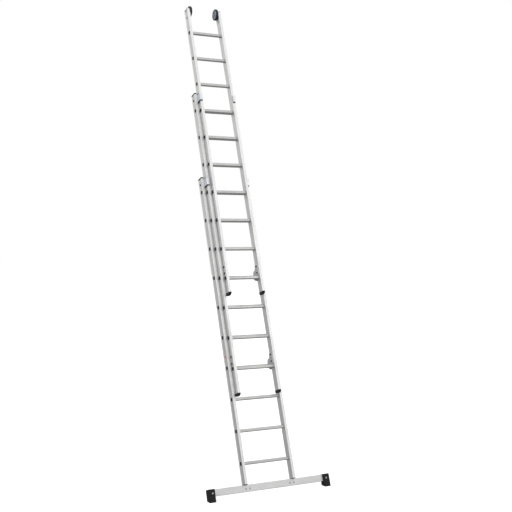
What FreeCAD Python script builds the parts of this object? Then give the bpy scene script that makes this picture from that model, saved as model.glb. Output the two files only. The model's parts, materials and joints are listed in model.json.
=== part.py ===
"""Three-section push-up extension ladder with stabiliser bar, catch hooks and wall wheels.

All sizes are in millimetres. The ladder is built upright in its own frame, with X across the
ladder, Y from the climber towards the wall and Z up along the stiles, and every finished piece
is then leaned back about the X axis so that the soles of the feet lie level on the floor.
"""
import FreeCAD, Part
import math
import os

V = FreeCAD.Vector

# ---- overall arrangement ----
LEAN = 18.64                  # degrees from vertical
PITCH = 280.0                 # rung spacing
RUNGS = 10                    # rungs in each section
LIFTED_RUNGS = 3              # rungs each upper section is raised over the one below
SEAT_DROP = 17.0              # how far a hooked section's rungs sit below those it hangs on
LOWEST_BASE_RUNG = 280.0      # height of the base's lowest rung above the floor line

# ---- stiles ----
STILE_DEPTH = 72.0            # front to back
STILE_THICK = 26.0            # across the ladder
STILE_WALL = 1.9
CHANNEL_DEPTH = 2.5           # shallow channel down the outer face
CHANNEL_HALF = 24.0
GRIP_LINE = 1.0               # lines pressed along the front and back faces
GRIP_HALF = 1.5
SIDE_GAP = 6.5                # between one section's stile and the next one's
SECTION_STEP_BACK = 52.0      # each section stands this far in front of the one below
BASE_WIDTH = 495.0            # outside the stiles
ABOVE_TOP_RUNG = {"base": 145.0, "middle": 177.0, "top": 265.0}
BELOW_LOW_RUNG = {"base": 180.0, "middle": 245.0, "top": 162.0}

# ---- rungs ----
RUNG_SIZE = 28.0
RUNG_CORNER = 6.0
RUNG_WALL = 2.0
RUNG_GROOVES = 4
COLLAR_SIZE = 33.0
COLLAR_THICK = 2.5

# ---- plastic ends ----
CAP_THICK = {"base": 14.0, "middle": 14.0, "top": 10.0}
CAP_SKIRT = {"base": 12.0, "middle": 12.0, "top": 4.0}
CAP_DOME = 6.0
FOOT_CAP_HEIGHT = 25.0
BASE_END_THICK = 4.0

# ---- stabiliser bar ----
BAR_HEIGHT = 60.0
BAR_DEPTH = 25.0
BAR_WALL = 2.5
BAR_TOP = 100.0
BAR_HALF = 575.0
FOOT_OUTER = 592.0
FOOT_WIDTH = 60.0
FOOT_HALF_DEPTH = 30.0
FOOT_TOP = 103.0
FOOT_SCREW_X = 556.0
BAR_BOLT_X = (197.0, 234.0)
BAR_BOLT_Z = 66.0

# ---- guide brackets at the top of the base and middle stiles ----
GUIDE_BELOW_TOP = (30.0, 98.0)
GUIDE_BOLT_BELOW_TOP = 68.0
GUIDE_PLATE = 2.5
GUIDE_LINER = 2.8
GUIDE_CLEAR = 0.9
GUIDE_LIP = 28.0
GUIDE_BACK = 20.0
LINER_SHOWS = 9.0

# ---- catch hooks ----
HOOK_PLATE = 6.0
HOOK_SADDLE = 18.0
HOOK_BOLTS = (46.0, 107.0)    # above the section's lowest rung
HOOK_BOLT_Y = 4.0
BOLT_HEAD_R = 11.0
LATCH_PIN = (27.5, -15.0)
LATCH_PIN_R = 3.0
LATCH_GAP = 0.5
LATCH_THICK = 9.0
MOUTH_CLEAR = 1.0

# ---- wall wheels ----
WHEEL_R = 56.0
WHEEL_WIDTH = 21.0
HUB_R = 41.0
WHEEL_ABOVE_TOP_RUNG = 245.0
WHEEL_BACK = 9.0
WHEEL_PLATE = 3.0
WHEEL_GAP = 2.0
AXLE_R = 5.0
RUN_CLEAR = 0.05

STICKER_Z = 1225.0
STICKER_R = 14.0

ORDER = ("base", "middle", "top")


# ---- where each section is ----
def half_width(section):
    return BASE_WIDTH / 2 - ORDER.index(section) * (STILE_THICK + SIDE_GAP)


def centre_y(section):
    return -ORDER.index(section) * SECTION_STEP_BACK


def low_rung(section):
    step = LIFTED_RUNGS * PITCH - SEAT_DROP
    return LOWEST_BASE_RUNG + ORDER.index(section) * step


def top_rung(section):
    return low_rung(section) + (RUNGS - 1) * PITCH


def top_end(section):
    return top_rung(section) + ABOVE_TOP_RUNG[section]


def bottom_end(section):
    return low_rung(section) - BELOW_LOW_RUNG[section]


# ---- shape helpers ----
def in_plane(plane, a, b, offset):
    if plane == "xy":
        return V(a, b, offset)
    if plane == "yz":
        return V(offset, a, b)
    return V(a, offset, b)


def normal_of(plane):
    return {"xy": V(0, 0, 1), "yz": V(1, 0, 0), "xz": V(0, 1, 0)}[plane]


def outline(points, radii, plane, offset):
    """Closed wire through the points, each corner rounded by its own radius."""
    corners = [in_plane(plane, a, b, offset) for a, b in points]
    if not isinstance(radii, (list, tuple)):
        radii = [radii] * len(corners)
    ends = []
    for i, corner in enumerate(corners):
        back = (corners[i - 1] - corner).normalize()
        on = (corners[(i + 1) % len(corners)] - corner).normalize()
        if radii[i] == 0:
            ends.append((corner, None, corner))
            continue
        half = back.getAngle(on) / 2
        cut = radii[i] / math.tan(half)
        inward = (back + on).normalize()
        middle = corner + inward * (radii[i] / math.sin(half) - radii[i])
        ends.append((corner + back * cut, middle, corner + on * cut))
    edges = []
    for i, (start, middle, end) in enumerate(ends):
        if middle is not None:
            edges.append(Part.Arc(start, middle, end).toShape())
        following = ends[(i + 1) % len(ends)][0]
        if (following - end).Length > 1e-6:
            edges.append(Part.makeLine(end, following))
    return Part.Wire(edges)


def prism(points, radii, plane, start, end):
    face = Part.Face(outline(points, radii, plane, start))
    return face.extrude(normal_of(plane) * (end - start))


def rect(low_a, high_a, low_b, high_b):
    return [(low_a, low_b), (high_a, low_b), (high_a, high_b), (low_a, high_b)]


def block(x0, x1, y0, y1, z0, z1):
    return Part.makeBox(x1 - x0, y1 - y0, z1 - z0, V(x0, y0, z0))


def rod(radius, x0, x1, y, z):
    return Part.makeCylinder(radius, x1 - x0, V(x0, y, z), V(1, 0, 0))


def rod_y(radius, x, y0, y1, z):
    return Part.makeCylinder(radius, y1 - y0, V(x, y0, z), V(0, 1, 0))


def hexagon(across, x0, x1, y, z):
    radius = across / math.sqrt(3)
    points = []
    for i in range(6):
        angle = math.radians(60 * i + 30)
        points.append((y + radius * math.cos(angle), z + radius * math.sin(angle)))
    return prism(points, 0, "yz", x0, x1)


def mirrored(shape):
    return shape.mirror(V(0, 0, 0), V(1, 0, 0))


def save(name, shapes):
    """Lean the finished piece back and write it; a list is saved as separate solids."""
    solids = shapes if isinstance(shapes, list) else [shapes]
    leaned = []
    for solid in solids:
        piece = solid.copy()
        piece.rotate(V(0, 0, 0), V(1, 0, 0), -LEAN)
        leaned.append(piece)
    shape = leaned[0] if len(leaned) == 1 else Part.makeCompound(leaned)
    shape.exportStep("parts/" + name + ".step")
    print(name, len(leaned), "solids, valid", shape.isValid(), round(shape.Volume / 1000, 2), "cm3")


def save_pair(name, right):
    save(name + "_right", right)
    save(name + "_left", mirrored(right))


# ---- stiles and rungs ----
def stile_section(half, y):
    """Outer and inner outlines of the hollow stile on the right-hand side."""
    inside = half - STILE_THICK
    front = y - STILE_DEPTH / 2
    back = y + STILE_DEPTH / 2
    floor = half - CHANNEL_DEPTH
    low = y - CHANNEL_HALF
    high = y + CHANNEL_HALF
    points = [(inside, front)]
    radii = [2.5]
    for x in (inside + 9.0, inside + 17.0):
        points += [(x - GRIP_HALF, front), (x, front + GRIP_LINE), (x + GRIP_HALF, front)]
        radii += [0, 0, 0]
    points += [(half, front), (half, low - 2), (floor, low), (floor, high), (half, high + 2), (half, back)]
    radii += [2.5, 0.8, 0.8, 0.8, 0.8, 2.5]
    for x in (inside + 17.0, inside + 9.0):
        points += [(x + GRIP_HALF, back), (x, back - GRIP_LINE), (x - GRIP_HALF, back)]
        radii += [0, 0, 0]
    points.append((inside, back))
    radii.append(2.5)
    wall = STILE_WALL
    hollow = [
        (inside + wall, front + wall),
        (half - wall, front + wall),
        (half - wall, low - 2 - wall / 2),
        (floor - wall, low - wall / 2),
        (floor - wall, high + wall / 2),
        (half - wall, high + 2 + wall / 2),
        (half - wall, back - wall),
        (inside + wall, back - wall),
    ]
    return points, radii, hollow


def make_stile(section, cross_bolts):
    half = half_width(section)
    y = centre_y(section)
    bottom = bottom_end(section) + (BASE_END_THICK if section == "base" else FOOT_CAP_HEIGHT)
    top = top_end(section) - CAP_THICK[section]
    points, radii, hollow = stile_section(half, y)
    tube = prism(points, radii, "xy", bottom, top).cut(prism(hollow, 0.6, "xy", bottom, top))
    side = RUNG_SIZE / 2
    cuts = []
    for i in range(RUNGS):
        z = low_rung(section) + i * PITCH
        square = rect(y - side, y + side, z - side, z + side)
        cuts.append(prism(square, RUNG_CORNER, "yz", half - STILE_THICK - 1, half + 1))
    for bolt_y, bolt_z, radius in cross_bolts:
        cuts.append(rod(radius, half - STILE_THICK - 1, half + 1, bolt_y, bolt_z))
    return tube.cut(cuts)


def make_rung(section, z):
    """Hollow rung with a ribbed tread and a swaged collar against each stile."""
    half = half_width(section)
    y = centre_y(section)
    side = RUNG_SIZE / 2
    end = half - CHANNEL_DEPTH
    points = [(y - side, z - side), (y + side, z - side), (y + side, z + side)]
    radii = [RUNG_CORNER] * 3
    for i in reversed(range(RUNG_GROOVES)):
        groove = y + (i - (RUNG_GROOVES - 1) / 2) * 4.0
        points += [(groove + 0.9, z + side), (groove, z + side - 0.9), (groove - 0.9, z + side)]
        radii += [0, 0, 0]
    points.append((y - side, z + side))
    radii.append(RUNG_CORNER)
    tube = prism(points, radii, "yz", -end, end)
    bore = side - RUNG_WALL
    tube = tube.cut(prism(rect(y - bore, y + bore, z - bore, z + bore), 4.0, "yz", -end, end))
    around = COLLAR_SIZE / 2
    inside = half - STILE_THICK
    collars = []
    for start, stop in ((inside - COLLAR_THICK, inside), (-inside, COLLAR_THICK - inside)):
        ring = prism(rect(y - around, y + around, z - around, z + around), 8.0, "yz", start, stop)
        core = prism(rect(y - side + 1, y + side - 1, z - side + 1, z + side - 1), 5.0, "yz", start, stop)
        collars.append(ring.cut(core))
    solid = tube.fuse(collars)
    hollow = prism(rect(y - bore, y + bore, z - bore, z + bore), 4.0, "yz", -end, end)
    return solid.cut(hollow).Solids[0]


def make_rung_plug(section, z):
    """Plastic plug: a flange in the stile's outer channel and a shank in the rung."""
    half = half_width(section)
    y = centre_y(section)
    floor = half - CHANNEL_DEPTH
    flange = prism(rect(y - 14, y + 14, z - 15.5, z + 15.5), 6.0, "yz", floor, half - 0.3)
    core = RUNG_SIZE / 2 - RUNG_WALL - 0.1
    shank = prism(rect(y - core, y + core, z - core, z + core), 4.0, "yz", floor - 10, floor)
    return flange.fuse(shank).removeSplitter().Solids[0]


def spigot_block(section, z0, z1):
    """Block that fits the stile's hollow, for plastic ends and inserts."""
    half = half_width(section)
    y = centre_y(section)
    slack = STILE_WALL + 0.2
    x0 = half - STILE_THICK + slack
    x1 = half - CHANNEL_DEPTH - slack
    y0 = y - STILE_DEPTH / 2 + slack
    y1 = y + STILE_DEPTH / 2 - slack
    return prism(rect(x0, x1, y0, y1), 1.0, "xy", z0, z1)


def end_plate(section, z0, z1):
    half = half_width(section)
    y = centre_y(section)
    depth = STILE_DEPTH / 2
    return prism(rect(half - STILE_THICK, half, y - depth, y + depth), 2.5, "xy", z0, z1)


def make_end_cap(section):
    top = top_end(section)
    seat = top - CAP_THICK[section]
    plate = end_plate(section, seat, top)
    rim = [edge for edge in plate.Edges if edge.BoundBox.ZMin > top - 0.01]
    plate = plate.makeFillet(CAP_DOME, rim)
    skirt = spigot_block(section, seat - CAP_SKIRT[section], seat)
    return plate.fuse(skirt).Solids[0]


def make_foot_cap(section):
    """Plastic foot of a sliding section, with its front lower edge cut back to a wedge."""
    half = half_width(section)
    y = centre_y(section)
    bottom = bottom_end(section)
    top = bottom + FOOT_CAP_HEIGHT
    depth = STILE_DEPTH / 2
    side = [
        (y - depth, bottom + 15),
        (y - depth + 20, bottom),
        (y + depth, bottom),
        (y + depth, top),
        (y - depth, top),
    ]
    shoe = prism(side, [5, 8, 5, 1, 1], "yz", half - STILE_THICK, half)
    return shoe.fuse(spigot_block(section, top, top + 20)).Solids[0]


# ---- fasteners that cross a stile from its outer channel ----
def make_cross_bolt(section, y, z, inner_end, shank_r=4.0, nut_across=13.0, nut_thick=5.0):
    """Domed head in the channel, shank through the stile and a nut at the inner end."""
    floor = half_width(section) - CHANNEL_DEPTH
    head = rod(BOLT_HEAD_R, floor, floor + 2.2, y, z)
    rim = [edge for edge in head.Edges if edge.BoundBox.XMin > floor + 2.1 and edge.Length > 40]
    head = head.makeFillet(1.2, rim).cut(hexagon(5.0, floor + 0.8, floor + 3, y, z))
    shank = rod(shank_r, inner_end - nut_thick - 2, floor, y, z)
    nut = hexagon(nut_across, inner_end - nut_thick, inner_end, y, z)
    return head.fuse([shank, nut]).Solids[0]


# ---- stabiliser bar and its feet ----
def make_bar():
    low = BAR_TOP - BAR_HEIGHT
    deep = BAR_DEPTH / 2
    bar = prism(rect(-deep, deep, low, BAR_TOP), 3.0, "yz", -BAR_HALF, BAR_HALF)
    wall = BAR_WALL
    hollow = prism(
        rect(wall - deep, deep - wall, low + wall, BAR_TOP - wall), 1.0, "yz", -BAR_HALF, BAR_HALF
    )
    cuts = [hollow]
    centre = half_width("base") - STILE_THICK / 2
    slot = block(centre - 11, centre + 9, -9.7, 9.7, BAR_TOP - wall - 1, BAR_TOP + 1)
    cuts += [slot, mirrored(slot)]
    for side in (-1, 1):
        for x in BAR_BOLT_X:
            cuts.append(rod_y(4.05, side * x, -deep - 1, deep + 1, BAR_BOLT_Z))
        cuts.append(rod_y(3.05, side * FOOT_SCREW_X, -deep - 1, 0, BAR_BOLT_Z))
    return bar.cut(cuts)


def make_bar_insert():
    """Aluminium insert inside the bar, with a neck that rises into the stile."""
    wall = BAR_WALL + 0.2
    low = BAR_TOP - BAR_HEIGHT + wall
    deep = BAR_DEPTH / 2 - wall
    body = prism(rect(-deep, deep, low, BAR_TOP - wall - 0.2), 1.5, "yz", 184, 246)
    half = half_width("base")
    x0 = half - STILE_THICK + STILE_WALL + 1.2
    x1 = half - CHANNEL_DEPTH - STILE_WALL - 1.2
    neck = block(x0, x1, -9.4, 9.4, BAR_TOP - wall - 1, bottom_end("base") + 55)
    insert = body.fuse(neck)
    holes = [rod_y(4.05, x, -20, 20, BAR_BOLT_Z) for x in BAR_BOLT_X]
    return insert.cut(holes).removeSplitter().Solids[0]


def make_bar_bolt(x):
    deep = BAR_DEPTH / 2
    head = rod_y(8.0, x, -deep - 2.3, -deep, BAR_BOLT_Z)
    rim = [edge for edge in head.Edges if edge.BoundBox.YMax < -deep - 2.2 and edge.Length > 40]
    head = head.makeFillet(1.4, rim)
    shank = rod_y(4.0, x, -deep, deep + 4, BAR_BOLT_Z)
    nut = rod_y(7.5, x, deep, deep + 4, BAR_BOLT_Z)
    return head.fuse([shank, nut]).Solids[0]


def make_base_end():
    """Black plastic plate that closes the base stile where it stands on the bar."""
    z0 = bottom_end("base")
    plate = end_plate("base", z0, z0 + BASE_END_THICK)
    half = half_width("base")
    hole = block(half - STILE_THICK + 2.8, half - CHANNEL_DEPTH - 2.8, -9.6, 9.6, z0 - 1, z0 + 9)
    return plate.cut(hole)


def make_rubber_foot():
    """Rubber boot over the end of the bar; its grooved sole lies level on the floor."""
    slope = math.tan(math.radians(LEAN))
    deep = FOOT_HALF_DEPTH
    inner = FOOT_OUTER - FOOT_WIDTH
    points = [(-deep, -deep * slope)]
    radii = [1.0]
    for y in (-18.0, -6.0, 6.0, 18.0):
        for shift, rise in ((-2.0, 0.0), (-2.0, 2.5), (2.0, 2.5), (2.0, 0.0)):
            points.append((y + shift, (y + shift) * slope + rise))
            radii.append(0)
    points += [(deep, deep * slope), (deep, FOOT_TOP), (-deep, FOOT_TOP)]
    radii += [1.0, 8.0, 8.0]
    boot = prism(points, radii, "yz", inner, FOOT_OUTER)
    from_front = prism(rect(inner, FOOT_OUTER, -40, FOOT_TOP), [0, 0, 9, 0], "xz", -40, 40)
    from_above = prism(rect(inner, FOOT_OUTER, -deep, deep), [0, 6, 6, 0], "xy", -40, FOOT_TOP + 1)
    boot = boot.common(from_front).common(from_above)
    low = BAR_TOP - BAR_HEIGHT
    pocket = prism(
        rect(-BAR_DEPTH / 2, BAR_DEPTH / 2, low, BAR_TOP), 3.0, "yz", inner, BAR_HALF
    )
    screw = rod_y(3.05, FOOT_SCREW_X, -deep - 1, 0, BAR_BOLT_Z)
    return boot.cut([pocket, screw])


def make_foot_screw():
    front = -FOOT_HALF_DEPTH
    head = rod_y(8.5, FOOT_SCREW_X, front - 3.5, front, BAR_BOLT_Z)
    rim = [edge for edge in head.Edges if edge.BoundBox.YMax < front - 3.4 and edge.Length > 40]
    head = head.makeFillet(2.0, rim)
    shank = rod_y(3.0, FOOT_SCREW_X, front, -BAR_DEPTH / 2 + 8, BAR_BOLT_Z)
    return head.fuse(shank).Solids[0]


# ---- guide brackets ----
def guide_profile(section):
    """Positions shared by a guide bracket and its liner, on the right-hand side."""
    face = half_width(section) - STILE_THICK
    front = centre_y(section) - SECTION_STEP_BACK - STILE_DEPTH / 2 - GUIDE_CLEAR
    return face, front


def make_guide(section, bolt_y, bolt_z):
    """Plate on the stile's inner face that runs forward and folds round the next stile."""
    face, front = guide_profile(section)
    high = top_end(section) - GUIDE_BELOW_TOP[0]
    low = top_end(section) - GUIDE_BELOW_TOP[1]
    back = centre_y(section) + GUIDE_BACK
    lip_back = front - GUIDE_LINER
    lip_front = lip_back - GUIDE_PLATE
    bend = GUIDE_PLATE + 1.5
    fold = [
        (face, back),
        (face - GUIDE_PLATE, back),
        (face - GUIDE_PLATE, lip_back),
        (face - GUIDE_LIP, lip_back),
        (face - GUIDE_LIP, lip_front),
        (face, lip_front),
    ]
    plate = prism(fold, [0, 0, 1.5, 0, 0, bend], "xy", low, high)
    side = [
        (back, low + 6),
        (back, high - 22),
        (back - 22, high),
        (lip_front, high),
        (lip_front, low),
        (back - 10, low),
    ]
    keep = prism(side, [6, 6, 6, 0, 0, 6], "yz", face - 60, face + 1)
    lip_keep = prism(
        rect(face - GUIDE_LIP, face + 40, low, high), [7, 0, 0, 7], "xz", lip_front - 1, back + 1
    )
    plate = plate.common(keep).common(lip_keep)
    hole = rod(4.05, face - 10, face + 10, bolt_y, bolt_z)
    return plate.cut(hole).Solids[0]


def make_liner(section):
    """Black plastic wear strip inside the bracket, standing out below it."""
    face, front = guide_profile(section)
    high = top_end(section) - GUIDE_BELOW_TOP[0] - 3
    low = top_end(section) - GUIDE_BELOW_TOP[1] - LINER_SHOWS
    outer = face - GUIDE_PLATE
    back = centre_y(section) - 12
    strip = [
        (outer, back),
        (outer - GUIDE_LINER, back),
        (outer - GUIDE_LINER, front),
        (face - GUIDE_LIP + 0.5, front),
        (face - GUIDE_LIP + 0.5, front - GUIDE_LINER),
        (outer, front - GUIDE_LINER),
    ]
    return prism(strip, [0, 0, 0.5, 0, 0, 1.5], "xy", low, high)


# ---- catch hooks and latches ----
def hook_points(section):
    """Centre of the section's own lowest rung, which every hook point is measured from."""
    return centre_y(section), low_rung(section)


def caught_rung():
    """Centre of the rung below that the hook sits on, from the section's own rung."""
    return SECTION_STEP_BACK, SEAT_DROP


def make_hook(section):
    """Plate on the stile's inner face that arches over the rung of the section behind."""
    y, z = hook_points(section)
    cy, cz = caught_rung()
    side = RUNG_SIZE / 2 + MOUTH_CLEAR
    crown = cz + RUNG_SIZE / 2 + 0.5
    body = [
        (-22, 26),
        (-17, 24),
        (19, 24),
        (19, -26),
        (cy - side, -26),
        (cy - side, crown),
        (cy + side, crown),
        (cy + side, 12),
        (87, 26),
        (87, 50),
        (74, 76),
        (40, 82),
        (28, 122),
        (-22, 122),
    ]
    radii = [3, 1, 3, 6, 5, 6, 6, 3, 6, 14, 14, 12, 8, 8]
    inner = half_width(section) - STILE_THICK
    shape = prism([(y + a, z + b) for a, b in body], radii, "yz", inner - HOOK_PLATE, inner)
    saddle = [
        (cy - side, 4),
        (cy - side, crown),
        (cy + side, crown),
        (cy + side, 14),
        (cy + side + 4, 12),
        (cy + side + 4, crown + 4),
        (cy - side - 4, crown + 4),
        (cy - side - 4, 4),
    ]
    flange_radii = [0, 6, 6, 0, 0, 9, 9, 0]
    flange = prism(
        [(y + a, z + b) for a, b in saddle], flange_radii, "yz", inner - HOOK_SADDLE, inner - 1
    )
    shape = shape.fuse(flange)
    holes = []
    for rise in HOOK_BOLTS:
        holes.append(rod(4.05, inner - 30, inner + 1, y + HOOK_BOLT_Y, z + rise))
    pin_y, pin_z = LATCH_PIN
    holes.append(rod(LATCH_PIN_R + 0.02, inner - 30, inner + 1, y + pin_y, z + pin_z))
    return shape.cut(holes).removeSplitter().Solids[0]


def make_latch(section):
    """Flap that closes the hook's mouth below the caught rung."""
    y, z = hook_points(section)
    pin_y, pin_z = LATCH_PIN
    inner = half_width(section) - STILE_THICK - HOOK_PLATE - LATCH_GAP
    arm = [
        (pin_y - 8, pin_z - 8),
        (pin_y + 6, pin_z - 10),
        (73, -2),
        (73, 1.5),
        (40, 1.0),
        (pin_y - 8, pin_z + 8),
    ]
    flap = prism(
        [(y + a, z + b) for a, b in arm], [7, 8, 1.2, 1.2, 8, 7], "yz", inner - LATCH_THICK, inner
    )
    hole = rod(LATCH_PIN_R + RUN_CLEAR, inner - 20, inner + 1, y + pin_y, z + pin_z)
    return flap.cut(hole).Solids[0]


def make_latch_pin(section):
    y, z = hook_points(section)
    pin_y, pin_z = LATCH_PIN
    inner = half_width(section) - STILE_THICK
    flap_end = inner - HOOK_PLATE - LATCH_GAP - LATCH_THICK
    shank = rod(LATCH_PIN_R, flap_end - 4, inner, y + pin_y, z + pin_z)
    head = rod(5.0, flap_end - 6, flap_end - 3.5, y + pin_y, z + pin_z)
    return shank.fuse(head).Solids[0]


def make_latch_spring(section):
    """Coil on the latch pin between the flap and the pin's head."""
    y, z = hook_points(section)
    pin_y, pin_z = LATCH_PIN
    start = half_width(section) - STILE_THICK - HOOK_PLATE - LATCH_GAP - LATCH_THICK - 0.45
    rings = []
    for i in range(3):
        centre = V(start - 0.45 - i * 1.0, y + pin_y, z + pin_z)
        rings.append(Part.makeTorus(3.9, 0.5, centre, V(1, 0, 0)))
    return rings[0].fuse(rings[1:]).Solids


# ---- wall wheels ----
def wheel_centre():
    return centre_y("top") + WHEEL_BACK, top_rung("top") + WHEEL_ABOVE_TOP_RUNG


def wheel_span():
    outer = half_width("top") - STILE_THICK - WHEEL_PLATE - WHEEL_GAP
    return outer - WHEEL_WIDTH, outer


def make_wheel_plate():
    """Round-topped aluminium plate that carries the axle on the stile's inner face."""
    y, z = wheel_centre()
    inner = half_width("top") - STILE_THICK
    mid = centre_y("top")
    half = STILE_DEPTH / 2 - 2
    points = [(mid - half, z - 95), (mid + half, z - 95), (mid + half, z + 24), (mid - half, z + 24)]
    plate = prism(points, [10, 10, 30, 30], "yz", inner - WHEEL_PLATE, inner)
    holes = [rod(AXLE_R + 0.02, inner - 20, inner + 1, y, z)]
    holes.append(rod(4.05, inner - 20, inner + 1, mid, z - 78))
    return plate.cut(holes)


def make_axle():
    y, z = wheel_centre()
    start, end = wheel_span()
    floor = half_width("top") - CHANNEL_DEPTH
    head = rod(8.0, floor, floor + 2.2, y, z)
    shank = rod(AXLE_R, start - 11, floor, y, z)
    nut = hexagon(17.0, start - 10, start - 2.2, y, z)
    collar = rod(9.0, end + 0.2, end + WHEEL_GAP, y, z)
    return head.fuse([shank, nut, collar]).Solids[0]


def make_tyre():
    y, z = wheel_centre()
    start, end = wheel_span()
    tyre = rod(WHEEL_R, start, end, y, z)
    rim = [edge for edge in tyre.Edges if edge.Length > 300]
    tyre = tyre.makeFillet(5.0, rim)
    return tyre.cut(rod(HUB_R, start - 1, end + 1, y, z))


def make_hub():
    """Moulded hub: rim, dished web with six round holes, and a boss on the axle."""
    y, z = wheel_centre()
    start, end = wheel_span()
    middle = (start + end) / 2
    disc = rod(HUB_R, start + 1, end - 1, y, z)
    cuts = []
    for x0, x1 in ((start, middle - 2.5), (middle + 2.5, end)):
        cuts.append(rod(HUB_R - 5, x0, x1, y, z).cut(rod(13, x0, x1, y, z)))
    for i in range(6):
        angle = math.radians(60 * i)
        hole_y = y + 25.5 * math.cos(angle)
        hole_z = z + 25.5 * math.sin(angle)
        cuts.append(rod(6.5, start, end, hole_y, hole_z))
    hub = disc.cut(cuts).fuse(rod(13, start - 2, end, y, z))
    return hub.cut(rod(AXLE_R + RUN_CLEAR, start - 5, end + 5, y, z)).removeSplitter().Solids[0]


# ---- build ----
os.makedirs("parts", exist_ok=True)

for section in ORDER:
    half = half_width(section)
    y = centre_y(section)
    inner = half - STILE_THICK
    rung_heights = [low_rung(section) + i * PITCH for i in range(RUNGS)]
    crossings = []

    guide_y = y + 6.0
    guide_z = top_end(section) - GUIDE_BOLT_BELOW_TOP
    if section != "top":
        crossings.append((guide_y, guide_z, 4.05))
    if section != "base":
        for rise in HOOK_BOLTS:
            crossings.append((y + HOOK_BOLT_Y, low_rung(section) + rise, 4.05))
    if section == "top":
        axle_y, axle_z = wheel_centre()
        crossings.append((axle_y, axle_z, AXLE_R + 0.02))
        crossings.append((y, axle_z - 78, 4.05))

    save_pair(section + "_stile", make_stile(section, crossings))
    save(section + "_rungs", [make_rung(section, z) for z in rung_heights])
    plugs = [make_rung_plug(section, z) for z in rung_heights]
    save(section + "_rung_plugs", plugs + [mirrored(plug) for plug in plugs])
    cap = make_end_cap(section)
    save(section + "_end_caps", [cap, mirrored(cap)])

    if section != "top":
        save_pair(section + "_guide", make_guide(section, guide_y, guide_z))
        save_pair(section + "_guide_liner", make_liner(section))
        bolt = make_cross_bolt(section, guide_y, guide_z, inner - GUIDE_PLATE)
        save(section + "_guide_bolts", [bolt, mirrored(bolt)])

    if section != "base":
        foot = make_foot_cap(section)
        save(section + "_foot_caps", [foot, mirrored(foot)])
        save_pair(section + "_hook", make_hook(section))
        bolts = []
        for rise in HOOK_BOLTS:
            bolt_y = y + HOOK_BOLT_Y
            bolt_z = low_rung(section) + rise
            bolts.append(make_cross_bolt(section, bolt_y, bolt_z, inner - HOOK_PLATE))
        save(section + "_hook_bolts", bolts + [mirrored(bolt) for bolt in bolts])
        save_pair(section + "_latch", make_latch(section))
        pin = make_latch_pin(section)
        save(section + "_latch_pins", [pin, mirrored(pin)])
        spring = make_latch_spring(section)
        save(section + "_latch_springs", spring + [mirrored(ring) for ring in spring])

save("stabiliser_bar", make_bar())
save_pair("bar_insert", make_bar_insert())
bar_bolts = [make_bar_bolt(x) for x in BAR_BOLT_X]
save("bar_bolts", bar_bolts + [mirrored(bolt) for bolt in bar_bolts])
base_end = make_base_end()
save("base_end_plates", [base_end, mirrored(base_end)])
save_pair("rubber_foot", make_rubber_foot())
foot_screw = make_foot_screw()
save("foot_screws", [foot_screw, mirrored(foot_screw)])

save_pair("wheel_plate", make_wheel_plate())
axle = make_axle()
save("wheel_axles", [axle, mirrored(axle)])
save_pair("tyre", make_tyre())
save_pair("wheel_hub", make_hub())
plate_face = half_width("top") - STILE_THICK - WHEEL_PLATE
plate_bolt = make_cross_bolt("top", centre_y("top"), wheel_centre()[1] - 78, plate_face)
save("wheel_plate_bolts", [plate_bolt, mirrored(plate_bolt)])

sticker_x = BASE_WIDTH / 2 - CHANNEL_DEPTH
save("inspection_sticker", mirrored(rod(STICKER_R, sticker_x, sticker_x + 0.4, 0, STICKER_Z)))
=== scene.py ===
import bpy
import bmesh
import json
import math
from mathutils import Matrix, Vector


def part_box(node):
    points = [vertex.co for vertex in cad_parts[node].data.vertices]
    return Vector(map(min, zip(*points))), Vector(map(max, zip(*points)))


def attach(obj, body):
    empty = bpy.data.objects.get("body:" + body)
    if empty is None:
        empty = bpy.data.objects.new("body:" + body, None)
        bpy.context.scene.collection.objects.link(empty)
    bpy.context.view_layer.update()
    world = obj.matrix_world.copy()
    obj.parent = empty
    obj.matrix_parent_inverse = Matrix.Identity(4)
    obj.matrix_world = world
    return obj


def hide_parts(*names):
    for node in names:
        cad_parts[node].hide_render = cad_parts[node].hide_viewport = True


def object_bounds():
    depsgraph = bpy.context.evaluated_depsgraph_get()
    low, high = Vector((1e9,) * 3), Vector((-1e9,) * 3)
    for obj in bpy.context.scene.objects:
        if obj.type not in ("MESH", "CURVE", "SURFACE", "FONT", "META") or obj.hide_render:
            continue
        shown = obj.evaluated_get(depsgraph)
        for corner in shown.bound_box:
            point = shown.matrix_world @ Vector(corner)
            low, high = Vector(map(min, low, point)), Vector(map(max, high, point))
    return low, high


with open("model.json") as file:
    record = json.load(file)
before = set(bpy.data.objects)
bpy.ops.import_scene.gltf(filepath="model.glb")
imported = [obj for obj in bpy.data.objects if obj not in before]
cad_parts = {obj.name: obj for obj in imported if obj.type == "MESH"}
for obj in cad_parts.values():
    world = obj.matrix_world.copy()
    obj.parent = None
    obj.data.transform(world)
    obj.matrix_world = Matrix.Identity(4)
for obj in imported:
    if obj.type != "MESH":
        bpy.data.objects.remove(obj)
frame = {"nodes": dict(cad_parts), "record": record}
cad_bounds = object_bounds()
nodes = frame["nodes"]

LEAN = math.radians(18.64)      # the stiles' angle from vertical
RAISED_SECTIONS = ("middle", "top")
SIDES = ("left", "right")

# ---- wheel tyres, metres ----
TYRE_STEPS = 216
TYRE_BORE_R = 0.0411
CROWN_POINTS = 25
CROWN_SHARE = 0.86              # part of the width that the crown takes
CROWN_DROP = 0.0015
GROOVE_DEPTH = 0.0016
SIPE_DEPTH = 0.0012
SIPE_EVERY = 6

# ---- latch springs, metres ----
SPRING_WIRE_R = 0.00045
SPRING_TURNS = 2.5
SPRING_START = 0.0007
SPRING_END = 0.0023

# ---- floor, metres ----
FLOOR_RINGS = (1.0, 2.0, 4.0, 8.0, 16.0, 60.0)
FLOOR_STEPS = 64

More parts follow.
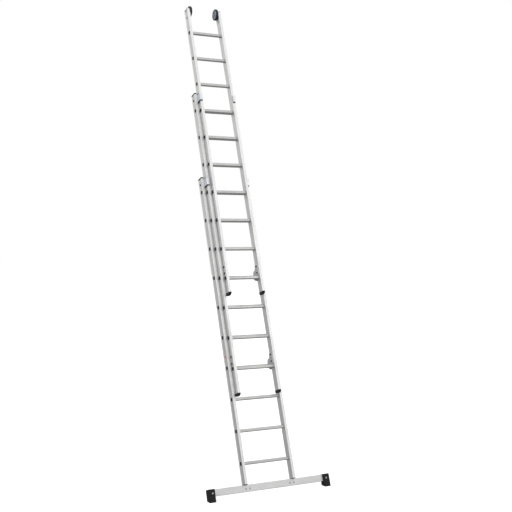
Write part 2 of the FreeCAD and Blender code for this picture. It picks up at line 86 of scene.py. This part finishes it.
# ---- camera ----
CAMERA_AT = (-3.6985, -7.0262, 2.1532)
CAMERA_TURN = (math.radians(89.344), math.radians(0.338), -math.radians(26.924))
CAMERA_LENS_MM = 64.49


# ---- node helpers ----
class Shader:
    """Builds one procedural Principled material; coordinates follow the leaning ladder."""

    def __init__(self, name, color, metallic, roughness):
        self.material = bpy.data.materials.new(name)
        self.material.use_nodes = True
        self.tree = self.material.node_tree
        self.bsdf = self.tree.nodes["Principled BSDF"]
        self.color = color
        self.bsdf.inputs["Base Color"].default_value = (*color, 1)
        self.bsdf.inputs["Metallic"].default_value = metallic
        self.bsdf.inputs["Roughness"].default_value = roughness
        place = self.node("ShaderNodeTexCoord")
        turn = self.node("ShaderNodeMapping")
        turn.inputs["Rotation"].default_value = (LEAN, 0, 0)
        self.join(place.outputs["Object"], turn.inputs["Vector"])
        self.coords = turn.outputs["Vector"]

    def node(self, kind):
        return self.tree.nodes.new(kind)

    def join(self, a, b):
        self.tree.links.new(a, b)

    def scaled(self, scale):
        mapping = self.node("ShaderNodeMapping")
        mapping.inputs["Scale"].default_value = scale
        self.join(self.coords, mapping.inputs["Vector"])
        return mapping.outputs["Vector"]

    def noise(self, scale, detail=4.0, rough=0.55):
        texture = self.node("ShaderNodeTexNoise")
        texture.inputs["Scale"].default_value = 1.0
        texture.inputs["Detail"].default_value = detail
        texture.inputs["Roughness"].default_value = rough
        self.join(self.scaled(scale), texture.inputs["Vector"])
        return texture.outputs["Fac"]

    def cells(self, scale):
        texture = self.node("ShaderNodeTexVoronoi")
        texture.inputs["Scale"].default_value = 1.0
        self.join(self.scaled(scale), texture.inputs["Vector"])
        return texture.outputs["Color"]

    def remap(self, value, low, high, out_low, out_high):
        mapping = self.node("ShaderNodeMapRange")
        mapping.inputs["From Min"].default_value = low
        mapping.inputs["From Max"].default_value = high
        mapping.inputs["To Min"].default_value = out_low
        mapping.inputs["To Max"].default_value = out_high
        self.join(value, mapping.inputs["Value"])
        return mapping.outputs["Result"]

    def math(self, operation, a, b):
        calc = self.node("ShaderNodeMath")
        calc.operation = operation
        for socket, value in zip(calc.inputs, (a, b)):
            if isinstance(value, (int, float)):
                socket.default_value = value
            else:
                self.join(value, socket)
        return calc.outputs["Value"]

    def mix(self, fac, a, b, mode="MIX"):
        blend = self.node("ShaderNodeMix")
        blend.data_type = "RGBA"
        blend.blend_type = mode
        self.feed(blend.inputs[0], fac)
        self.feed(blend.inputs[6], a)
        self.feed(blend.inputs[7], b)
        return blend.outputs[2]

    def feed(self, socket, value):
        if isinstance(value, (int, float)):
            socket.default_value = value
        elif isinstance(value, (tuple, list)):
            socket.default_value = (*value[:3], 1)
        else:
            self.join(value, socket)

    def tone(self, factor):
        return tuple(min(1.0, c * factor) for c in self.color)

    def set_color(self, value):
        self.join(value, self.bsdf.inputs["Base Color"])

    def set_roughness(self, value):
        self.join(value, self.bsdf.inputs["Roughness"])

    def bump(self, height, strength, distance):
        bump = self.node("ShaderNodeBump")
        bump.inputs["Strength"].default_value = strength
        bump.inputs["Distance"].default_value = distance
        previous = self.bsdf.inputs["Normal"]
        if previous.is_linked:
            self.join(previous.links[0].from_socket, bump.inputs["Normal"])
        self.join(height, bump.inputs["Height"])
        self.join(bump.outputs["Normal"], self.bsdf.inputs["Normal"])

    def crevice(self, distance):
        """0 in tight corners, 1 on open faces."""
        shade = self.node("ShaderNodeAmbientOcclusion")
        shade.samples = 4
        shade.only_local = True
        shade.inputs["Distance"].default_value = distance
        return shade.outputs["AO"]


# ---- materials ----
def drawn_aluminium(name, color, roughness, streaks, blotches):
    """Extruded aluminium with die lines along the extrusion, dull patches, rubbed dirt and
    painted shade darkening the corners.
    """
    s = Shader(name, color, 1.0, roughness)
    fine = s.noise(streaks, 3.0)
    broad = s.noise(tuple(v * 0.16 for v in streaks), 3.0)
    dull = s.noise(blotches, 5.0, 0.6)
    scuff = s.remap(s.noise((260, 260, 260), 6.0, 0.7), 0.60, 0.72, 0.0, 1.0)
    scuff = s.math("MULTIPLY", scuff, s.remap(dull, 0.48, 0.62, 0.0, 1.0))
    lines = s.mix(s.remap(fine, 0.3, 0.7, 0.0, 1.0), s.tone(0.93), s.tone(1.04))
    lines = s.mix(s.remap(broad, 0.35, 0.65, 0.0, 0.55), lines, s.tone(0.97))
    grime = s.mix(s.remap(dull, 0.40, 0.72, 0.0, 0.22), lines, s.tone(0.80))
    grime = s.mix(s.math("MULTIPLY", scuff, 0.35), grime, s.tone(0.72))
    # painted shade: ambient occlusion darkens the corners and channels toward 0.42 of the base
    # tone
    corner = s.remap(s.crevice(0.009), 0.30, 0.90, 0.45, 0.0)
    s.set_color(s.mix(corner, grime, s.tone(0.42)))
    gloss = s.remap(dull, 0.3, 0.75, roughness - 0.05, roughness + 0.12)
    gloss = s.math("ADD", gloss, s.math("MULTIPLY", scuff, 0.12))
    s.set_roughness(s.math("ADD", gloss, s.remap(fine, 0.3, 0.7, -0.03, 0.05)))
    s.bump(fine, 0.18, 0.0002)
    s.bump(scuff, -0.10, 0.0002)
    return s.material


def zinc_plate(name, color, roughness):
    """Zinc-plated steel: faint crystal patches, brushed grain, darker worn spots and painted
    shade darkening the corners.
    """
    s = Shader(name, color, 1.0, roughness)
    patches = s.cells((140, 140, 140))
    grain = s.noise((900, 900, 160), 3.0)
    wear = s.noise((34, 34, 34), 6.0, 0.65)
    tint = s.mix(0.10, s.tone(1.0), patches, "OVERLAY")
    tint = s.mix(s.remap(grain, 0.3, 0.7, 0.0, 0.35), tint, s.tone(0.82))
    tint = s.mix(s.remap(wear, 0.52, 0.72, 0.0, 0.5), tint, s.tone(0.60))
    # painted shade: ambient occlusion darkens the corners toward 0.35 of the base tone
    corner = s.remap(s.crevice(0.008), 0.35, 0.95, 0.6, 0.0)
    s.set_color(s.mix(corner, tint, s.tone(0.35)))
    s.set_roughness(s.remap(wear, 0.3, 0.75, roughness - 0.06, roughness + 0.18))
    s.bump(grain, 0.15, 0.0002)
    return s.material


def moulded(name, color, roughness, texture_size, dust_and_corner_shade):
    """Moulded plastic or rubber: sparked texture, pale scuffs, and corners mixed toward the dust
    colour: pale dust on the black parts, painted shade on the grey and hub parts.
    """
    s = Shader(name, color, 0.0, roughness)
    s.bsdf.inputs["Specular IOR Level"].default_value = 0.3
    spark = s.noise((texture_size,) * 3, 2.0)
    flow = s.noise((26, 26, 26), 5.0, 0.6)
    scuff = s.remap(s.noise((150, 150, 420), 6.0, 0.7), 0.58, 0.74, 0.0, 1.0)
    tint = s.mix(s.remap(flow, 0.35, 0.7, 0.0, 1.0), s.tone(0.85), s.tone(1.25))
    tint = s.mix(s.math("MULTIPLY", scuff, 0.25), tint, dust_and_corner_shade)
    # ambient occlusion mixes the corners toward the dust colour: pale dust on the black parts,
    # painted shade on the grey and hub parts
    corner = s.remap(s.crevice(0.006), 0.3, 0.95, 0.28, 0.0)
    s.set_color(s.mix(corner, tint, dust_and_corner_shade))
    s.set_roughness(s.remap(flow, 0.3, 0.7, roughness - 0.07, roughness + 0.10))
    s.bump(spark, 0.25, 0.0002)
    s.bump(scuff, -0.12, 0.0002)
    return s.material


def label(name, color, centre, radius):
    """Round printed label: pale rim, coloured field and a plain lighter ring."""
    s = Shader(name, color, 0.0, 0.35)
    place = s.node("ShaderNodeTexCoord")
    away = s.node("ShaderNodeVectorMath")
    away.operation = "DISTANCE"
    s.join(place.outputs["Object"], away.inputs[0])
    away.inputs[1].default_value = centre
    spread = s.math("DIVIDE", away.outputs["Value"], radius)
    field = s.mix(s.remap(spread, 0.86, 0.89, 0.0, 1.0), color, (0.88, 0.84, 0.80))
    ring = s.math("COMPARE", spread, 0.55)
    ring.node.inputs[2].default_value = 0.05
    field = s.mix(s.math("MULTIPLY", ring, 0.7), field, (0.95, 0.60, 0.42))
    fade = s.remap(s.noise((220, 220, 220), 5.0), 0.4, 0.8, 0.0, 0.25)
    s.set_color(s.mix(fade, field, (0.75, 0.70, 0.66)))
    s.set_roughness(s.remap(s.noise((90, 90, 90)), 0.3, 0.7, 0.28, 0.48))
    return s.material


MATERIALS = {
    "stile": drawn_aluminium("stile_drawn", (0.90, 0.90, 0.895), 0.40, (950, 950, 9), (9, 9, 4)),
    "rung": drawn_aluminium("rung_drawn", (0.56, 0.56, 0.555), 0.40, (9, 950, 950), (7, 12, 12)),
    "bar": drawn_aluminium("bar_drawn", (0.74, 0.74, 0.735), 0.44, (8, 900, 900), (5, 11, 11)),
    "guide": zinc_plate("guide_zinc", (0.80, 0.83, 0.88), 0.36),
    "hook": zinc_plate("hook_zinc", (0.76, 0.77, 0.78), 0.40),
    "fastener": zinc_plate("fastener_zinc", (0.42, 0.43, 0.45), 0.34),
    "dark_bolt": moulded(
        "bolt_blackened", (0.012, 0.012, 0.013), 0.40, 2600, (0.06, 0.06, 0.06)
    ),
    "black": moulded("black_moulded", (0.012, 0.012, 0.013), 0.46, 2600, (0.07, 0.07, 0.065)),
    # grey and hub: their dust colour is darker than the base, so their corners carry painted
    # shade
    "grey": moulded("grey_moulded", (0.50, 0.51, 0.52), 0.42, 2600, (0.33, 0.32, 0.31)),
    "hub": moulded("hub_moulded", (0.44, 0.47, 0.53), 0.34, 2200, (0.24, 0.24, 0.25)),
    "rubber": moulded(
        "foot_rubber_moulded", (0.013, 0.013, 0.014), 0.70, 1500, (0.07, 0.07, 0.065)
    ),
    "tyre": moulded(
        "tyre_rubber_moulded", (0.022, 0.023, 0.045), 0.46, 1700, (0.06, 0.06, 0.075)
    ),
}
low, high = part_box("inspection_sticker")
middle_of_sticker = tuple((low[i] + high[i]) / 2 for i in range(3))
MATERIALS["sticker"] = label(
    "sticker_printed", (0.78, 0.07, 0.03), middle_of_sticker, (high[1] - low[1]) / 2
)

FINISH = {
    "stile_aluminium": "stile",
    "rung_aluminium": "rung",
    "bar_aluminium": "bar",
    "guide_plate": "guide",
    "hook_metal": "hook",
    "fastener_steel": "fastener",
    "dark_bolt": "dark_bolt",
    "black_plastic": "black",
    "grey_plastic": "grey",
    "hub_plastic": "hub",
    "foot_rubber": "rubber",
    "tyre_rubber": "tyre",
    "sticker": "sticker",
}


for part in frame["record"]["subparts"]:
    piece = nodes[part["node"]]
    for place in piece.material_slots:
        place.material = MATERIALS[FINISH[part["material_slot"]]]


# ---- pieces that are finer than their CAD solids ----
def mesh_object(name, mesh_data):
    obj = bpy.data.objects.new(name, mesh_data)
    bpy.context.scene.collection.objects.link(obj)
    return obj


def turned(name, centre, profile, steps, notch):
    """Ring turned about X from a closed (x, radius) profile; notch lowers single steps."""
    bm = bmesh.new()
    rings = []
    for i in range(steps):
        angle = 2 * math.pi * i / steps
        ring = []
        for k, (x, radius) in enumerate(profile):
            r = radius - notch(i, k)
            y = centre[1] + r * math.cos(angle)
            z = centre[2] + r * math.sin(angle)
            ring.append(bm.verts.new((centre[0] + x, y, z)))
        rings.append(ring)
    count = len(profile)
    for i in range(steps):
        here = rings[i]
        there = rings[(i + 1) % steps]
        for k in range(count):
            n = (k + 1) % count
            bm.faces.new((here[k], here[n], there[n], there[k]))
    bmesh.ops.recalc_face_normals(bm, faces=bm.faces)
    data = bpy.data.meshes.new(name)
    bm.to_mesh(data)
    bm.free()
    for face in data.polygons:
        face.use_smooth = True
    return mesh_object(name, data)


def make_tyre(side):
    node = "tyre_" + side
    low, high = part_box(node)
    centre = [(low[i] + high[i]) / 2 for i in range(3)]
    half = (high[0] - low[0]) / 2
    outer = (high[2] - low[2]) / 2
    inner = TYRE_BORE_R
    crown = []
    for i in range(CROWN_POINTS):
        t = -1 + 2 * i / (CROWN_POINTS - 1)
        groove = GROOVE_DEPTH if abs(abs(t) - 0.42) < 0.06 else 0.0
        crown.append((t * half * CROWN_SHARE, outer - CROWN_DROP * t * t - groove))
    wall_left = [(-half, inner + 0.002), (-half, inner + 0.008), (-half * 0.96, outer - 0.004)]
    wall_right = [(half * 0.96, outer - 0.004), (half, inner + 0.008), (half, inner + 0.002)]
    profile = wall_left + crown + wall_right + [(half - 0.001, inner), (-half + 0.001, inner)]

    def siping(step, k):
        on_shoulder = 3 <= k < 9 or 22 <= k < 28
        return SIPE_DEPTH if on_shoulder and step % SIPE_EVERY == 0 else 0.0

    tyre = turned(node + "_treaded", centre, profile, TYRE_STEPS, siping)
    tyre.data.materials.append(MATERIALS["tyre"])
    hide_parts(node)
    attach(tyre, "wheel_" + side)


def coil_path(start_x, end_x, y, z, radius, turns, side):
    points = []
    steps = int(turns * 16)
    for i in range(steps + 1):
        angle = math.radians(200) + 2 * math.pi * turns * i / steps * side
        x = start_x + (end_x - start_x) * i / steps
        points.append((x, y + radius * math.cos(angle), z + radius * math.sin(angle)))
    return points


def make_springs(section):
    node = section + "_latch_springs"
    low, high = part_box(node)
    wire = SPRING_WIRE_R
    y = (low[1] + high[1]) / 2
    z = (low[2] + high[2]) / 2
    radius = (high[1] - low[1]) / 2 - wire - 0.0001
    coils = bpy.data.curves.new(node + "_coiled", "CURVE")
    coils.dimensions = "3D"
    coils.bevel_depth = wire
    coils.bevel_resolution = 2
    coils.use_fill_caps = True
    for side, start_x in ((-1, low[0]), (1, high[0])):
        inward = -side
        first = start_x + inward * SPRING_START
        last = start_x + inward * SPRING_END
        spline = coils.splines.new("POLY")
        points = coil_path(first, last, y, z, radius, SPRING_TURNS, side)
        spline.points.add(len(points) - 1)
        for place, point in zip(spline.points, points):
            place.co = (*point, 1)
    obj = bpy.data.objects.new(node + "_coiled", coils)
    bpy.context.scene.collection.objects.link(obj)
    coils.materials.append(MATERIALS["fastener"])
    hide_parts(node)
    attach(obj, section)


for side in SIDES:
    make_tyre(side)
for section in RAISED_SECTIONS:
    make_springs(section)


# ---- floor ----
def make_floor():
    bm = bmesh.new()
    level = cad_bounds[0][2]
    hub = bm.verts.new((0, 0, level))
    previous = None
    for radius in FLOOR_RINGS:
        ring = []
        for i in range(FLOOR_STEPS):
            angle = 2 * math.pi * i / FLOOR_STEPS
            ring.append(bm.verts.new((radius * math.cos(angle), radius * math.sin(angle), level)))
        for i in range(FLOOR_STEPS):
            n = (i + 1) % FLOOR_STEPS
            if previous is None:
                bm.faces.new((hub, ring[i], ring[n]))
            else:
                bm.faces.new((previous[i], ring[i], ring[n], previous[n]))
        previous = ring
    data = bpy.data.meshes.new("studio_floor")
    bm.to_mesh(data)
    bm.free()
    floor = mesh_object("studio_floor", data)
    material = bpy.data.materials.new("floor_paper")
    material.use_nodes = True
    tree = material.node_tree
    tree.nodes.remove(tree.nodes["Principled BSDF"])
    paper = tree.nodes.new("ShaderNodeBsdfDiffuse")
    paper.inputs["Color"].default_value = (0.75, 0.75, 0.75, 1)
    lit = tree.nodes.new("ShaderNodeEmission")
    lit.inputs["Strength"].default_value = 0.62
    pale = tree.nodes.new("ShaderNodeAddShader")
    tree.links.new(paper.outputs["BSDF"], pale.inputs[0])
    tree.links.new(lit.outputs["Emission"], pale.inputs[1])
    dim = tree.nodes.new("ShaderNodeBsdfDiffuse")
    dim.inputs["Color"].default_value = (0.38, 0.38, 0.38, 1)
    path = tree.nodes.new("ShaderNodeLightPath")
    mix = tree.nodes.new("ShaderNodeMixShader")
    tree.links.new(path.outputs["Is Camera Ray"], mix.inputs[0])
    tree.links.new(dim.outputs["BSDF"], mix.inputs[1])
    tree.links.new(pale.outputs["Shader"], mix.inputs[2])
    tree.links.new(mix.outputs["Shader"], tree.nodes["Material Output"].inputs["Surface"])
    data.materials.append(material)


# ---- light ----
def area_light(name, location, target, size, power):
    data = bpy.data.lights.new(name, "AREA")
    data.shape = "RECTANGLE"
    data.size, data.size_y = size
    data.energy = power
    lamp = bpy.data.objects.new(name, data)
    lamp.location = location
    lamp.rotation_euler = (Vector(target) - Vector(location)).to_track_quat("-Z", "Y").to_euler()
    bpy.context.scene.collection.objects.link(lamp)


def make_world():
    world = bpy.data.worlds.new("studio")
    bpy.context.scene.world = world
    world.use_nodes = True
    tree = world.node_tree
    tree.nodes.clear()
    out = tree.nodes.new("ShaderNodeOutputWorld")
    seen = tree.nodes.new("ShaderNodeBackground")
    seen.inputs["Color"].default_value = (1, 1, 1, 1)
    soft = tree.nodes.new("ShaderNodeBackground")
    path = tree.nodes.new("ShaderNodeLightPath")
    mix = tree.nodes.new("ShaderNodeMixShader")
    place = tree.nodes.new("ShaderNodeTexCoord")
    dot = tree.nodes.new("ShaderNodeVectorMath")
    dot.operation = "DOT_PRODUCT"
    dot.inputs[1].default_value = (0.47, -0.72, 0.51)
    tree.links.new(place.outputs["Generated"], dot.inputs[0])
    ramp = tree.nodes.new("ShaderNodeMapRange")
    ramp.inputs["From Min"].default_value = -0.9
    ramp.inputs["From Max"].default_value = 0.9
    ramp.inputs["To Min"].default_value = 0.80
    ramp.inputs["To Max"].default_value = 1.14
    tree.links.new(dot.outputs["Value"], ramp.inputs["Value"])
    tree.links.new(ramp.outputs["Result"], soft.inputs["Strength"])
    tree.links.new(path.outputs["Is Camera Ray"], mix.inputs[0])
    tree.links.new(soft.outputs["Background"], mix.inputs[1])
    tree.links.new(seen.outputs["Background"], mix.inputs[2])
    tree.links.new(mix.outputs["Shader"], out.inputs["Surface"])


make_floor()
make_world()
area_light("key_panel", (3.5, -6.5, 6.5), (0, 0.7, 2.2), (4.0, 4.0), 40)
area_light("overhead_panel", (-1.0, 0.5, 8.5), (0, 0.7, 2.0), (5.0, 5.0), 40)


# ---- camera ----
camera_data = bpy.data.cameras.new("photo_camera")
camera_data.sensor_width = 36.0
camera_data.lens = CAMERA_LENS_MM
camera_data.clip_end = 300.0
camera = bpy.data.objects.new("photo_camera", camera_data)
camera.location = CAMERA_AT
camera.rotation_euler = CAMERA_TURN
bpy.context.scene.collection.objects.link(camera)
bpy.context.scene.camera = camera

bpy.context.scene.view_settings.view_transform = "Standard"
bpy.context.scene.view_settings.look = "None"
